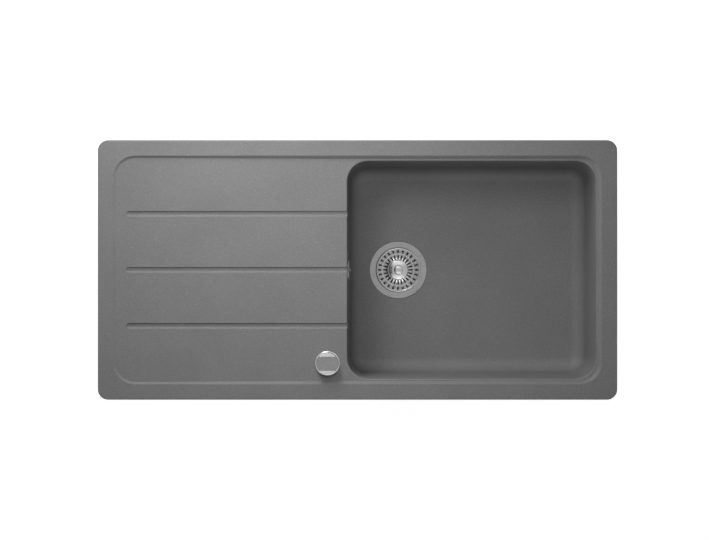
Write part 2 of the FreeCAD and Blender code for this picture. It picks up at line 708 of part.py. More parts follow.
# ---------------------------------------------------------------------------------------------------------
# Basket, with its plug and seal, and the pin that lifts it
# ---------------------------------------------------------------------------------------------------------
def make_basket():
    rim = "cup_mouth / 2 - basket_play"
    foot = "basket_base / 2"
    dome = "dome_width / 2"
    low = "-basket_depth"
    crown = "(crown_height - basket_depth)"
    basket = waste_piece("strainer_basket", (
        (rim, "0"),
        (f"{foot} + basket_sheet / 2", f"{low} - basket_sheet"),
        (foot, f"{low} - basket_sheet"),
        ("crown_width / 2", f"{crown} - basket_sheet"),
        ("0", f"{crown} - basket_sheet"),
        ("0", crown),
        ("crown_width / 2", crown),
        (foot, low),
        (f"{rim} - 1.2 * basket_sheet", "0"),
    ))
    dress(basket, "Fillet", lambda edge: level(edge, measure(crown)), Radius="crown_round")
    dress(basket, "Fillet", lambda edge: level(edge, measure(f"{crown} - basket_sheet")),
          Radius="crown_round - basket_sheet")
    dress(basket, "Fillet", lambda edge: level(edge, measure(low)), Radius="valley_round")
    profile = new_sketch(basket, offset="-basket_sheet + crown_height - basket_depth")
    add_box_outline(profile, f"{dome} + basket_sheet", f"{foot} - valley_round", "-slot_width / 2",
                    "slot_width / 2")
    polar(basket, pocket(basket, profile, "crown_height + basket_sheet"), "slot_count")
    for row in range(round(measure("hole_rows"))):
        profile = new_sketch(basket, "YZ_Plane", dome)
        add_circle(profile, "hole_width / 2", "0",
                   f"-basket_depth / 2 + ({row} + (1 - hole_rows) / 2) * hole_pitch")
        polar(basket, pocket(basket, profile, "cup_mouth / 2", Reversed=True), "slot_count")

    waste_piece("basket_knob", (
        ("0", crown),
        ("grip_radius - 1", crown),
        ("grip_radius - 2", f"{crown} + grip_height * 0.35"),
        ("grip_radius", f"{crown} + grip_height * 0.7"),
        ("grip_radius - 1", f"{crown} + grip_height"),
        ("0", f"{crown} + grip_height"),
    ))
    under = f"{crown} - basket_sheet"
    ceiling = "-cup_depth + head_rise + 0.9"
    skirt = "-cup_depth + seal_rise"
    waste_piece("basket_plug", (
        ("0", ceiling),
        ("0", under),
        ("grip_radius - 1", under),
        ("grip_radius - 1", f"{under} - crown_height / 2"),
        ("plug_radius - 2", f"{under} - crown_height / 2"),
        ("plug_radius - 2", f"{low} - basket_sheet"),
        (f"{dome} - 1", f"{low} - basket_sheet"),
        (f"{dome} - 1", skirt),
        ("plug_radius", skirt),
        ("plug_radius", "-cup_depth + plug_rise"),
        ("screw_head + 1.5", "-cup_depth + plug_rise"),
        ("screw_head + 1.5", ceiling),
    ))
    lip = "valve_bore / 2 + seal_lip"
    waste_piece("basket_seal", (
        ("plug_radius", skirt),
        (f"{dome} - 1", skirt),
        (lip, "-cup_depth + 1.4"),
        (lip, "-cup_depth"),
        ("valve_bore / 2 + 1", "-cup_depth"),
        (f"{dome} - 1", f"{skirt} - seal_thick"),
        ("plug_radius", f"{skirt} - seal_thick"),
    ))
    waste_piece("lift_pin", (
        ("0", ceiling),
        ("pin_radius", ceiling),
        ("pin_radius", "foot_z"),
        ("foot_radius", "foot_z"),
        ("foot_radius", "foot_z - foot_thick"),
        ("0", "foot_z - foot_thick"),
    ))


# ---------------------------------------------------------------------------------------------------------
# Cam shaft and the housing of its cable drum. The shaft's own Z axis points to the front.
# ---------------------------------------------------------------------------------------------------------
FORWARD = Rotation(Vector(1, 0, 0), 90)


def cam_outline():
    """The cam's edge. It lifts a flat foot by equal amounts for equal angles over a quarter turn, so this
    part is an involute, whose point of contact stays at one distance from the axis."""
    lift = measure("pin_lift")
    base = measure("cam_base")
    offset = lift / (math.pi / 2)
    points = []
    for step in range(13):
        turn = math.pi / 2 * step / 12
        reach = base + offset * turn
        side = math.pi / 2 - turn
        points.append(Vector(reach * math.cos(side) + offset * math.sin(side),
                             reach * math.sin(side) - offset * math.cos(side), 0))
    rise = Part.BSplineCurve()
    rise.interpolate(points)
    nose = points[-1]
    tip = base / 2
    corner = Part.Arc(nose, nose + Vector(-tip * (1 - math.sqrt(0.5)), -tip * math.sqrt(0.5), 0),
                      nose + Vector(-tip, -tip, 0))
    heel = Vector(-base * math.sin(math.radians(25)), -base * math.cos(math.radians(25)), 0)
    back = Part.Arc(heel, Vector(-base, 0, 0), Vector(0, base, 0))
    flats = (Part.LineSegment(corner.EndPoint, heel), Part.LineSegment(Vector(0, base, 0), points[0]))
    return Part.Wire(Part.__sortEdges__([part.toShape() for part in (rise, corner, back) + flats]))


def placed_shape(label, shape, x, y, z, turn=Rotation()):
    """A piece whose shape is computed, placed by three expressions."""
    made = doc.addObject("Part::Feature", label)
    made.Label = label
    made.Shape = shape
    made.Placement = FreeCAD.Placement(Vector(), turn)
    for axis, expression in zip("xyz", (x, y, z)):
        made.setExpression(f"Placement.Base.{axis}", link(expression))
    return made


def make_cam_drive():
    width = measure("cam_width")
    radius = measure("shaft_radius")
    front = measure("boss_reach + case_depth - case_wall - free_gap")
    cam = Part.Face(cam_outline()).extrude(Vector(0, 0, width))
    cam.translate(Vector(0, 0, -width / 2))
    shaft = Part.makeCylinder(radius, front + width / 2 + 2, Vector(0, 0, -width / 2 - 2))
    collar = Part.makeCylinder(radius + 1.5, 2, Vector(0, 0, measure("chamber_bore / 2 - 4")))
    at = ("waste_x", "0", "bowl_z + cam_z")
    placed_shape("cam_shaft", cam.fuse([shaft, collar]).removeSplitter(), *at, FORWARD)

    bore = "shaft_radius + run_gap"
    outer = "bush_radius - run_gap"
    seal = "chamber_bore / 2 + 0.5"
    turned("shaft_seal", ring(bore, outer, seal, f"{seal} + seal_thick"), *at, FORWARD)
    turned("shaft_bush", (
        (bore, f"{seal} + seal_thick"),
        (outer, f"{seal} + seal_thick"),
        (outer, "boss_reach"),
        ("boss_radius - 1", "boss_reach"),
        ("boss_radius - 1", "boss_reach + case_wall"),
        (bore, "boss_reach + case_wall"),
    ), *at, FORWARD)

    make_drive_case("valve", at, FORWARD, "boss_reach", "boss_radius - 1", "shaft_radius",
                    ("waste_x - case_side / 2", f"-boss_reach - {DRUM_MIDDLE}",
                     "bowl_z + cam_z + drum_radius - drum_groove"))


# ---------------------------------------------------------------------------------------------------------
# Cases of the two cable drums. Their own Z axis runs from the base plate to the lid.
# ---------------------------------------------------------------------------------------------------------
DRUM_MIDDLE = "(case_wall + 3 + drum_thick / 2)"


def make_drive_case(name, at, turn, base, hole, bore, gland_at):
    """A square case with its lid, lid screws, drum and cable gland."""
    top = f"{base} + case_depth - case_wall"
    corner = "4 * case_wall"
    post = "(case_side / 2 - 1.7 * case_wall)"
    posts = [(f"{x} * {post}", f"{y} * {post}") for x in (-1, 1) for y in (-1, 1)]

    case = new_body(f"{name}_housing", *at, turn)
    profile = new_sketch(case, offset=base)
    add_rounded(profile, "case_side", "case_side", corner)
    pad(case, profile, "case_depth - case_wall")
    profile = new_sketch(case, offset=f"{base} + case_wall")
    add_rounded(profile, "case_side - 2 * case_wall", "case_side - 2 * case_wall", f"{corner} - case_wall")
    pocket(case, profile, "case_depth", Reversed=True)
    profile = new_sketch(case, offset=base)
    add_circle(profile, f"{hole} + run_gap")
    pocket(case, profile, "2 * case_wall", Reversed=True)
    profile = new_sketch(case, offset=base)
    for x, y in posts:
        add_circle(profile, "2.2 * lid_screw", x, y)
    pad(case, profile, "case_depth - case_wall")
    profile = new_sketch(case, "YZ_Plane", "-case_side / 2")
    add_circle(profile, "cable_bore / 2 + case_wall / 2", "drum_radius - drum_groove",
               f"{base} + {DRUM_MIDDLE}")
    pocket(case, profile, "2 * case_wall", Reversed=True)

    lid = new_body(f"{name}_cover", *at, turn)
    profile = new_sketch(lid, offset=top)
    add_rounded(profile, "case_side", "case_side", corner)
    for x, y in posts:
        add_circle(profile, "lid_screw + free_gap / 2", x, y)
    pad(lid, profile, "case_wall")

    screws = new_body(f"{name}_screws", *at, turn)
    heads = new_sketch(screws, offset=f"{top} + case_wall")
    shanks = new_sketch(screws, offset=f"{top} + case_wall")
    bores = new_sketch(case, offset=top)
    for x, y in posts:
        add_circle(heads, "1.9 * lid_screw", x, y)
        add_circle(shanks, "lid_screw", x, y)
        add_circle(bores, "lid_screw", x, y)
    pad(screws, heads, "lid_screw")
    pad(screws, shanks, "case_wall + 6 * lid_screw", Reversed=True)
    pocket(case, bores, "6 * lid_screw + 1")

    low = f"({base} + {DRUM_MIDDLE} - drum_thick / 2)"
    turned(f"{name}_drum", (
        (bore, low),
        ("drum_radius", low),
        ("drum_radius", f"{low} + drum_thick / 2 - 1.5"),
        ("drum_radius - drum_groove", f"{low} + drum_thick / 2 - 1.5"),
        ("drum_radius - drum_groove", f"{low} + drum_thick / 2 + 1.5"),
        ("drum_radius", f"{low} + drum_thick / 2 + 1.5"),
        ("drum_radius", f"{low} + drum_thick"),
        (bore, f"{low} + drum_thick"),
    ), *at, turn)

    neck = "cable_bore / 2 + case_wall / 2"
    turned(f"{name}_gland", (
        ("cable_bore / 2", "-case_wall"),
        (neck, "-case_wall"),
        (neck, "0"),
        (f"{neck} + gland_brim", "0"),
        (f"{neck} + gland_brim", "1.5 * gland_brim"),
        (neck, "2 * gland_brim"),
        ("cable_bore / 2 + 1", "gland_reach"),
        ("cable_bore / 2", "gland_reach"),
    ), *gland_at, turn * Rotation(Vector(0, 1, 0), -90))


# ---------------------------------------------------------------------------------------------------------
# Rotary knob and its mounting in the 35 mm hole. Heights count from the knob's seat.
# ---------------------------------------------------------------------------------------------------------
DOWNWARD = Rotation(Vector(1, 0, 0), 180)


def make_control():
    at = ("knob_x", "-knob_back", "knob_z")
    under = "-(knob_z + pan_depth)"
    flange = "rosette_width / 2 - 2"
    turned("control_seal", ring("knob_hole / 2 + 0.5", flange, "0", "seal_thick / 2"), *at)
    turned("control_bushing", (
        ("spindle_radius + run_gap", "seal_thick / 2 + sheet_thick"),
        (flange, "seal_thick / 2 + sheet_thick"),
        (flange, "seal_thick / 2"),
        ("knob_hole / 2 - free_gap", "seal_thick / 2"),
        ("knob_hole / 2 - free_gap", "-5"),
        ("barrel_radius", "-5"),
        ("barrel_radius", "-barrel_length"),
        ("spindle_radius + run_gap", "-barrel_length"),
    ), *at)
    inside = "seal_thick / 2 + sheet_thick"
    rosette = turned("knob_rosette", (
        ("spindle_radius + 1", inside),
        ("spindle_radius + 1", "rosette_height"),
        ("rosette_width / 2", "rosette_height"),
        ("rosette_width / 2", "0"),
        (flange, "0"),
        (flange, inside),
    ), *at)
    dress(rosette, "Fillet", lambda edge: level(edge, measure("rosette_height"))
          and edge.BoundBox.XLength > measure("knob_width"), Radius="rosette_edge")
    turned("control_washer", ring("barrel_radius + free_gap", "knob_hole / 2 + washer_brim",
                                  f"{under} - seal_thick", under), *at)

    nut = new_body("control_nut", *at)
    profile = new_sketch(nut, offset=f"{under} - seal_thick")
    across = "(barrel_radius + 6)"
    add_polygon(profile, [(f"{across} * cos({60 * corner}deg)", f"{across} * sin({60 * corner}deg)")
                          for corner in range(6)])
    add_circle(profile, "barrel_radius")
    pad(nut, profile, "nut_height", Reversed=True)

    base = f"-({under}) + seal_thick + nut_height"
    make_drive_case("drive", at, DOWNWARD, base, "barrel_radius", "spindle_radius",
                    ("knob_x - case_side / 2", "-knob_back - drum_radius + drum_groove",
                     f"knob_z - ({base}) - {DRUM_MIDDLE}"))
    turned("spindle", ring("0", "spindle_radius", f"-({base} + case_depth - case_wall - free_gap)",
                           "rosette_height + free_gap + 0.6 * knob_height"), *at)
    make_knob(at)


def make_knob(at):
    """Round knob with a straight grip left standing between two finger scoops."""
    low = "(rosette_height + free_gap)"
    knob = new_body("control_knob", *at)
    profile = new_sketch(knob, offset=low)
    add_circle(profile, "knob_width / 2")
    pad(knob, profile, "knob_height")
    for side in (-1, 1):
        profile = new_sketch(knob, "YZ_Plane")
        add_circle(profile, "knob_scoop", f"{side} * (knob_grip / 2 + knob_scoop)", f"{low} + knob_height")
        pocket(knob, profile, "knob_width + 2", SideType="Symmetric")
    dress(knob, "Fillet", lambda edge: edge.BoundBox.ZMin > measure(f"{low} + knob_height") - 0.1,
          Radius="knob_edge")
    profile = new_sketch(knob, offset=low)
    add_circle(profile, "spindle_radius")
    pocket(knob, profile, "0.6 * knob_height", Reversed=True)
    profile = new_sketch(knob, "XZ_Plane", "-knob_width")
    add_circle(profile, "lid_screw", "0", f"{low} + 2 * lid_screw")
    pocket(knob, profile, "knob_width - spindle_radius", Reversed=True)

    set_screw = new_body("knob_set_screw", *at)
    profile = new_sketch(set_screw, "XZ_Plane", "-spindle_radius")
    add_circle(profile, "lid_screw", "0", f"{low} + 2 * lid_screw")
    pad(set_screw, profile, "6 * lid_screw", Reversed=True)


# ---------------------------------------------------------------------------------------------------------
# Overflow: rosette and screw inside the bowl, elbow and bent pipe behind its wall
# ---------------------------------------------------------------------------------------------------------
ALONG_X = Rotation(Vector(0, 1, 0), 90)


def add_bend(sketch, start, corner, radius):
    """A path from start, through a corner that an arc rounds off, to a point straight above or below it."""
    (x1, z1), (x2, z2) = start, corner
    first, last = Vector(measure(x1), measure(z1), 0), Vector(measure(x2), measure(z2), 0)
    reach = measure(radius)
    side = math.copysign(reach, first.x - last.x)
    rise = math.copysign(reach, last.y - first.y)
    middle = Vector(last.x + side, first.y + rise, 0)
    turns = (Vector(middle.x, first.y, 0), Vector(last.x, middle.y, 0))
    angles = [math.atan2(place.y - middle.y, place.x - middle.x) for place in turns]
    near, far = (1, 2) if math.sin(angles[1] - angles[0]) > 0 else (2, 1)
    start = angles[near - 1]
    circle = Part.Circle(middle, Vector(0, 0, 1), reach)
    run = sketch.addGeometry(Part.LineSegment(first, turns[0]))
    arc = sketch.addGeometry(Part.ArcOfCircle(circle, start, start + math.pi / 2))
    drop = sketch.addGeometry(Part.LineSegment(turns[1], last))
    sketch.addConstraint(Sketcher.Constraint("Tangent", run, 2, arc, near))
    sketch.addConstraint(Sketcher.Constraint("Tangent", arc, far, drop, 1))
    sketch.addConstraint(Sketcher.Constraint("Horizontal", run))
    sketch.addConstraint(Sketcher.Constraint("Vertical", drop))
    hold(sketch, run, 1, x1, z1)
    hold(sketch, drop, 2, x2, z2)
    hold_radius(sketch, arc, radius)


def sweep(body, kind, profile, path):
    """A pipe of the profile along the path, added to the body or taken out of it."""
    made = body.newObject(f"PartDesign::{kind}", f"{body.Name}_{kind.lower()}")
    made.Profile = (profile, [""])
    made.Spine = (path, ["Edge1", "Edge2", "Edge3"])
    settle(profile, path, made)
    return made


def make_overflow():
    inside = ("overflow_in", "0", "overflow_z")
    outside = ("overflow_out", "0", "overflow_z")
    face = "overflow_face / 2"
    bore = "(pipe_width / 2 + slip_gap)"
    outer = f"({bore} + body_wall / 2)"
    cover = turned("overflow_cover", (
        ("screw_radius", "overflow_rise - 1.5"),
        ("screw_radius", "overflow_rise"),
        (f"{face} - 5", "overflow_rise"),
        (face, "overflow_rise / 2"),
        (face, "0"),
        (f"{face} - sheet_thick", "0"),
        (f"{face} - sheet_thick", "overflow_rise / 2 - 0.8"),
        (f"{face} - 6", "overflow_rise - 1.5"),
    ), *inside, ALONG_X)
    profile = new_sketch(cover)
    add_circle(profile, "2.5", f"{face} * 0.55")
    polar(cover, pocket(cover, profile, "2 * overflow_rise", Reversed=True), "overflow_slots")
    end = "overflow_out - overflow_in - seal_thick - hub_drop"
    turned("overflow_screw", (
        ("0", "overflow_rise + 1.5"),
        ("screw_radius + 1", "overflow_rise + 1.5"),
        ("screw_radius + 2", "overflow_rise"),
        ("screw_radius - 0.5", "overflow_rise"),
        ("screw_radius - 0.5", end),
        ("0", end),
    ), *inside, ALONG_X)
    turned("overflow_gasket", ring("overflow_hole / 2 + 1", face, "-seal_thick", "0"), *outside, ALONG_X)

    # elbow with a flange, and a hub on two bars that takes the screw
    elbow = new_body("overflow_elbow", "overflow_out - seal_thick", "0", "overflow_z")
    profile = new_sketch(elbow, "YZ_Plane", "-body_wall")
    add_circle(profile, face)
    pad(elbow, profile, "body_wall")
    path = new_sketch(elbow, "XZ_Plane")
    add_bend(path, ("0", "0"), ("pipe_x - overflow_out + seal_thick", "-elbow_drop"), "elbow_bend")
    profile = new_sketch(elbow, "YZ_Plane")
    add_circle(profile, outer)
    sweep(elbow, "AdditivePipe", profile, path)
    profile = new_sketch(elbow, "YZ_Plane")
    add_circle(profile, bore)
    sweep(elbow, "SubtractivePipe", profile, path)
    for across, along in (("hub_bar", f"2 * {outer} - 1"), (f"2 * {outer} - 1", "hub_bar")):
        profile = new_sketch(elbow, "YZ_Plane", "-hub_drop")
        add_box_outline(profile, f"-({across}) / 2", f"({across}) / 2", f"-({along}) / 2", f"({along}) / 2")
        pad(elbow, profile, "hub_drop - hub_bar")
    profile = new_sketch(elbow, "YZ_Plane", "-hub_drop")
    add_circle(profile, "screw_radius + 2")
    pad(elbow, profile, "hub_drop")
    profile = new_sketch(elbow, "YZ_Plane", "-hub_drop")
    add_circle(profile, "screw_radius - 0.5")
    pocket(elbow, profile, "hub_drop", Reversed=True)

    # pipe with one bend, and a nut and a seal at each end
    pipe = new_body("overflow_pipe")
    path = new_sketch(pipe, "XZ_Plane")
    start = "inlet_x + nut_length"
    top = "overflow_z - elbow_drop + nut_length"
    add_bend(path, (start, "bowl_z - inlet_drop"), ("pipe_x", top), "pipe_bend")
    for kind, radius in (("AdditivePipe", "pipe_width / 2"),
                         ("SubtractivePipe", "pipe_width / 2 - pipe_wall")):
        profile = new_sketch(pipe, "YZ_Plane", start)
        add_circle(profile, radius, "0", "bowl_z - inlet_drop")
        sweep(pipe, kind, profile, path)
    for name, place, turn in (("upper", ("pipe_x", "0", "overflow_z - elbow_drop"), Rotation()),
                              ("lower", ("inlet_x", "0", "bowl_z - inlet_drop"), ALONG_X)):
        sleeve = "pipe_width / 2 + free_gap"
        turned(f"slip_nut_{name}", (
            (sleeve, "-seal_thick - nut_base"),
            (f"{outer} + nut_wall", "-seal_thick - nut_base"),
            (f"{outer} + nut_wall", "nut_length"),
            (f"{outer} + run_gap", "nut_length"),
            (f"{outer} + run_gap", "-seal_thick"),
            (sleeve, "-seal_thick"),
        ), *place, turn)
        turned(f"slip_seal_{name}", ring("pipe_width / 2", outer, "-seal_thick", "0"), *place, turn)


# ---------------------------------------------------------------------------------------------------------
# Fixing clips: a screw in each insert, and a claw that swivels on it. Heights count from the skirt's edge.
# ---------------------------------------------------------------------------------------------------------
def make_clips():
    inserts = new_body("clip_inserts", z="skirt_z")
    profile = new_sketch(inserts)
    for name, x, y, along in clip_places():
        add_circle(profile, "insert_width / 2", x, y)
        add_circle(profile, "screw_radius + run_gap", x, y)
        make_clip(name, x, y, Rotation(Vector(0, 0, 1), along))
    pad(inserts, profile, "insert_length")


def make_clip(name, x, y, turn):
    plate = "-claw_drop"
    under = "-claw_drop - claw_sheet"
    head = f"{under} - 1.5"
    screw = turned(f"clip_screw_{name}", (
        ("0", "screw_grip"),
        ("screw_radius - 0.6", "screw_grip"),
        ("screw_radius", "screw_grip - 0.6"),
        ("screw_radius", f"{plate} + free_gap + 1"),
        ("screw_radius + 1.5", f"{plate} + free_gap + 1"),
        ("screw_radius + 1.5", f"{plate} + free_gap"),
        ("screw_radius", f"{plate} + free_gap"),
        ("screw_radius", under),
        ("claw_width / 2", under),
        ("claw_width / 2", head),
        ("0", head),
    ), x, y, "skirt_z", turn)
    profile = new_sketch(screw, offset=head)
    across = "(2 * screw_radius - 0.2)"
    add_polygon(profile, [(f"{across} * cos({60 * corner}deg)", f"{across} * sin({60 * corner}deg)")
                          for corner in range(6)])
    pad(screw, profile, "screw_hexagon", Reversed=True)

    claw = new_body(f"clip_claw_{name}", x, y, "skirt_z", turn)
    half = "claw_width / 2"
    profile = new_sketch(claw, offset=under)
    add_box_outline(profile, "0", "claw_reach", f"-{half}", half)
    pad(claw, profile, "claw_sheet")
    profile = new_sketch(claw, offset=under)
    add_circle(profile, half)
    pad(claw, profile, "claw_sheet")
    profile = new_sketch(claw, "XZ_Plane")
    add_polygon(profile, (
        ("claw_reach", plate),
        ("claw_reach", f"{plate} + claw_tooth"),
        ("claw_reach - claw_sheet / 2", f"{plate} + claw_tooth"),
        ("claw_reach - claw_sheet", f"{plate} + claw_tooth - claw_sheet / 2"),
        ("claw_reach - claw_sheet", f"{plate} + claw_sheet"),
        ("claw_reach - 2 * claw_sheet", plate),
    ))
    pad(claw, profile, "claw_width", SideType="Symmetric")
    for side in (-1, 1):
        profile = new_sketch(claw, "YZ_Plane", "claw_reach")
        add_polygon(profile, (
            (f"{side} * claw_width / 6 - claw_notch / 2", f"{plate} + claw_tooth"),
            (f"{side} * claw_width / 6", f"{plate} + claw_tooth - claw_notch"),
            (f"{side} * claw_width / 6 + claw_notch / 2", f"{plate} + claw_tooth"),
        ))
        pocket(claw, profile, "2 * claw_sheet")
    profile = new_sketch(claw, offset=plate)
    add_circle(profile, "screw_radius + run_gap")
    pocket(claw, profile, "2 * claw_sheet")


make_sink_body()
make_waste()
make_basket()
make_cam_drive()
make_control()
make_overflow()
make_clips()
doc.recompute()

# ---------------------------------------------------------------------------------------------------------
# Every object has to be sound before anything is written
# ---------------------------------------------------------------------------------------------------------
TOOLS = ("bowl_space",)
for item in doc.Objects:
    if {"Invalid", "Error"} & set(item.State):
        raise RuntimeError(f"{item.Label}: {item.getStatusString()}")
pieces = [item for item in doc.Objects
          if item.TypeId in ("PartDesign::Body", "Part::Feature") and item.Label not in TOOLS]
for piece in pieces:
    if piece.Shape.isNull() or not piece.Shape.isValid():
        raise RuntimeError(f"{piece.Label}: no sound shape")

os.makedirs("parts", exist_ok=True)
for piece in pieces:
    piece.Shape.exportStep(f"parts/{piece.Label}.step")
    print(piece.Label, len(piece.Shape.Solids), round(piece.Shape.Volume / 1000, 2))
print(len(pieces), "pieces")
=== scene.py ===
import bpy
import bmesh
import math
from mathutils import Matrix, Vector


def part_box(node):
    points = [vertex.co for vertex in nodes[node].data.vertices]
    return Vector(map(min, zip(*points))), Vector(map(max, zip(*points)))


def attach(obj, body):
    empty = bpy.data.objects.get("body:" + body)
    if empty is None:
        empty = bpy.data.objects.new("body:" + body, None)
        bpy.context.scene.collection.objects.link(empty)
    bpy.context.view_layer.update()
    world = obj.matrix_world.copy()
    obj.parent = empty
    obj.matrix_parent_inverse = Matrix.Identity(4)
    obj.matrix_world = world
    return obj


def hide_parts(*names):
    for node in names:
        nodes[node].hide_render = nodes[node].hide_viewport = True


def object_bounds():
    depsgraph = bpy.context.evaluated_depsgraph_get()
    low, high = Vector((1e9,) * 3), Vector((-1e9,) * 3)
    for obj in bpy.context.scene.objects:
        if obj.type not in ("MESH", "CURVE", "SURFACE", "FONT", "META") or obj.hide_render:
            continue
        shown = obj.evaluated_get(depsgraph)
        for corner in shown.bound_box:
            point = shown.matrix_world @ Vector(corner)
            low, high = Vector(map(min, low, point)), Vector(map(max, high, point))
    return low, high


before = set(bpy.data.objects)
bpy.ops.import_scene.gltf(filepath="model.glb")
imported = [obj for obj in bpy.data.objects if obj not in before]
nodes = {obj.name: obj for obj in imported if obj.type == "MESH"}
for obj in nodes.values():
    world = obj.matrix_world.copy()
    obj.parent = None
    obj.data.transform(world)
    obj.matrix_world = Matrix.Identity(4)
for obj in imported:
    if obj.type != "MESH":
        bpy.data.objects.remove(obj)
cad_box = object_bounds()


# ---------------------------------------------------------------------------------------------------------
# Node materials
# ---------------------------------------------------------------------------------------------------------
class Shader:
    """A principled material with helpers for procedural inputs in the object's own metres."""

    def __init__(self, name, **settings):
        self.material = bpy.data.materials.new(name)
        self.material.use_nodes = True
        self.tree = self.material.node_tree
        self.shader = self.tree.nodes["Principled BSDF"]
        for key, value in settings.items():
            self.shader.inputs[key.replace("_", " ")].default_value = value
        self.place = self.node("ShaderNodeTexCoord").outputs["Object"]

    def node(self, kind, **inputs):
        made = self.tree.nodes.new(kind)
        for key, value in inputs.items():
            self.put(made.inputs[key.replace("_", " ")], value)
        return made

    def put(self, socket, value):
        if isinstance(value, bpy.types.NodeSocket):
            self.tree.links.new(value, socket)
        else:
            socket.default_value = value

    def noise(self, scale, detail=2.0, rough=0.5, stretch=None):
        """Noise with features of about 1 / scale metres."""
        made = self.node("ShaderNodeTexNoise", Scale=scale, Detail=detail, Roughness=rough)
        self.put(made.inputs["Vector"], self.stretched(stretch) if stretch else self.place)
        return made.outputs["Fac"]

    def stretched(self, scale, location=(0, 0, 0)):
        made = self.node("ShaderNodeMapping", Scale=scale, Location=location)
        self.put(made.inputs["Vector"], self.place)
        return made.outputs["Vector"]

    def grains(self, scale, feature="Color"):
        """Random shade of each grain, with grains about 1 / scale metres across."""
        made = self.node("ShaderNodeTexVoronoi", Scale=scale, Randomness=1.0)
        self.put(made.inputs["Vector"], self.place)
        if feature == "Color":
            split = self.node("ShaderNodeSeparateColor", Color=made.outputs["Color"])
            return split.outputs["Red"]
        return made.outputs[feature]

    def ramp(self, factor, *stops):
        """Colours or greys at places along 0 to 1."""
        made = self.node("ShaderNodeValToRGB", Fac=factor)
        band = made.color_ramp
        while len(band.elements) < len(stops):
            band.elements.new(0.5)
        for element, (place, colour) in zip(band.elements, stops):
            element.position = place
            element.color = colour if isinstance(colour, tuple) else (colour, colour, colour, 1)
        return made.outputs["Color"]

    def mix(self, factor, first, second, mode="MIX"):
        made = self.tree.nodes.new("ShaderNodeMix")
        made.data_type = "RGBA"
        made.blend_type = mode
        made.clamp_factor = True
        self.put(made.inputs[0], factor)
        self.put(made.inputs[6], first)
        self.put(made.inputs[7], second)
        return made.outputs[2]

    def math(self, operation, first, second=0.0):
        made = self.tree.nodes.new("ShaderNodeMath")
        made.operation = operation
        for socket, value in zip(made.inputs, (first, second)):
            self.put(socket, value)
        return made.outputs["Value"]

    def around(self, x, y, z):
        """Distance from an upright axis, in metres."""
        split = self.node("ShaderNodeSeparateXYZ", Vector=self.stretched((1, 1, 1), (-x, -y, -z)))
        squares = [self.math("MULTIPLY", split.outputs[name], split.outputs[name]) for name in "XY"]
        return self.math("SQRT", self.math("ADD", *squares))

    def colour(self, value):
        self.put(self.shader.inputs["Base Color"], value)

    def rough(self, factor, low, high):
        made = self.node("ShaderNodeMapRange", Value=factor)
        made.inputs["To Min"].default_value = low
        made.inputs["To Max"].default_value = high
        self.put(self.shader.inputs["Roughness"], made.outputs["Result"])

    def bump(self, height, distance, strength):
        made = self.node("ShaderNodeBump", Height=height, Distance=distance, Strength=strength)
        self.put(self.shader.inputs["Normal"], made.outputs["Normal"])


# Features per metre
FINE_QUARTZ = 1900
COARSE_QUARTZ = 800
TURNING_MARKS = 2600
MOULD_GRAIN = 2200


def grey(level, tint=(1.0, 1.0, 1.0)):
    return tuple(level * part for part in tint) + (1.0,)


def granite():
    """Quartz grains in tinted resin: light and dark specks of several sizes, satin with a fine tooth."""
    m = Shader("granite_composite", Specular_IOR_Level=0.35)
    resin = (1.0, 0.99, 1.005)
    base = m.ramp(m.noise(9, 3), (0.35, grey(0.172, resin)), (0.65, grey(0.184, resin)))
    fine = m.ramp(m.grains(FINE_QUARTZ), (0.0, 0.8), (0.25, 0.93), (0.75, 1.04), (1.0, 1.2))
    base = m.mix(1.0, base, fine, "MULTIPLY")
    coarse = m.ramp(m.grains(COARSE_QUARTZ), (0.0, 0.7), (0.06, 0.97), (0.93, 1.0), (0.97, 1.3), (1.0, 1.5))
    base = m.mix(0.6, base, m.mix(1.0, base, coarse, "MULTIPLY"))
    m.colour(base)
    m.rough(m.noise(420, 3), 0.44, 0.6)
    m.bump(m.mix(0.5, m.noise(900, 4, 0.6), m.grains(FINE_QUARTZ, "Distance")), 0.00006, 0.45)
    return m.material


def brushed(name, level, low, high, centre=None):
    """Steel with fine turning or brushing marks, round an axis where one is given."""
    m = Shader(name, Metallic=1.0)
    cloud = m.noise(60, 4, 0.6)
    if centre:
        radius = m.around(*centre)
        rings = m.node("ShaderNodeCombineXYZ", X=radius)
        lines = m.node("ShaderNodeTexNoise", Scale=TURNING_MARKS, Detail=3.0)
        m.put(lines.inputs["Vector"], rings.outputs["Vector"])
        marks = lines.outputs["Fac"]
    else:
        marks = m.noise(220, 4, 0.65, (1, 14, 14))
    shade = m.mix(0.5, marks, cloud)
    m.colour(m.ramp(shade, (0.3, grey(level * 0.86)), (0.7, grey(level * 1.1))))
    m.rough(shade, low, high)
    m.bump(marks, 0.00003, 0.5)
    return m.material


def plated(name, level, low, high, tint=(1.0, 1.0, 1.0)):
    """Plated metal: smooth, with faint cloudiness and small pits."""
    m = Shader(name, Metallic=1.0)
    cloud = m.noise(130, 5, 0.6)
    m.colour(m.ramp(cloud, (0.3, grey(level * 0.9, tint)), (0.72, grey(level * 1.06, tint))))
    m.rough(m.noise(420, 4), low, high)
    m.bump(m.noise(1600, 3), 0.00002, 0.35)
    return m.material


def plastic(name, level, low, high, tint=(1.0, 1.0, 1.0)):
    """Moulded plastic: fine eroded grain, flow clouds and a little dust in the grain."""
    m = Shader(name, Specular_IOR_Level=0.45)
    flow = m.noise(38, 4, 0.62)
    tooth = m.noise(MOULD_GRAIN, 3)
    shade = m.mix(0.3, flow, tooth)
    m.colour(m.ramp(shade, (0.3, grey(level * 0.85, tint)), (0.7, grey(level * 1.1, tint))))
    m.rough(tooth, low, high)
    m.bump(tooth, 0.00004, 0.6)
    return m.material


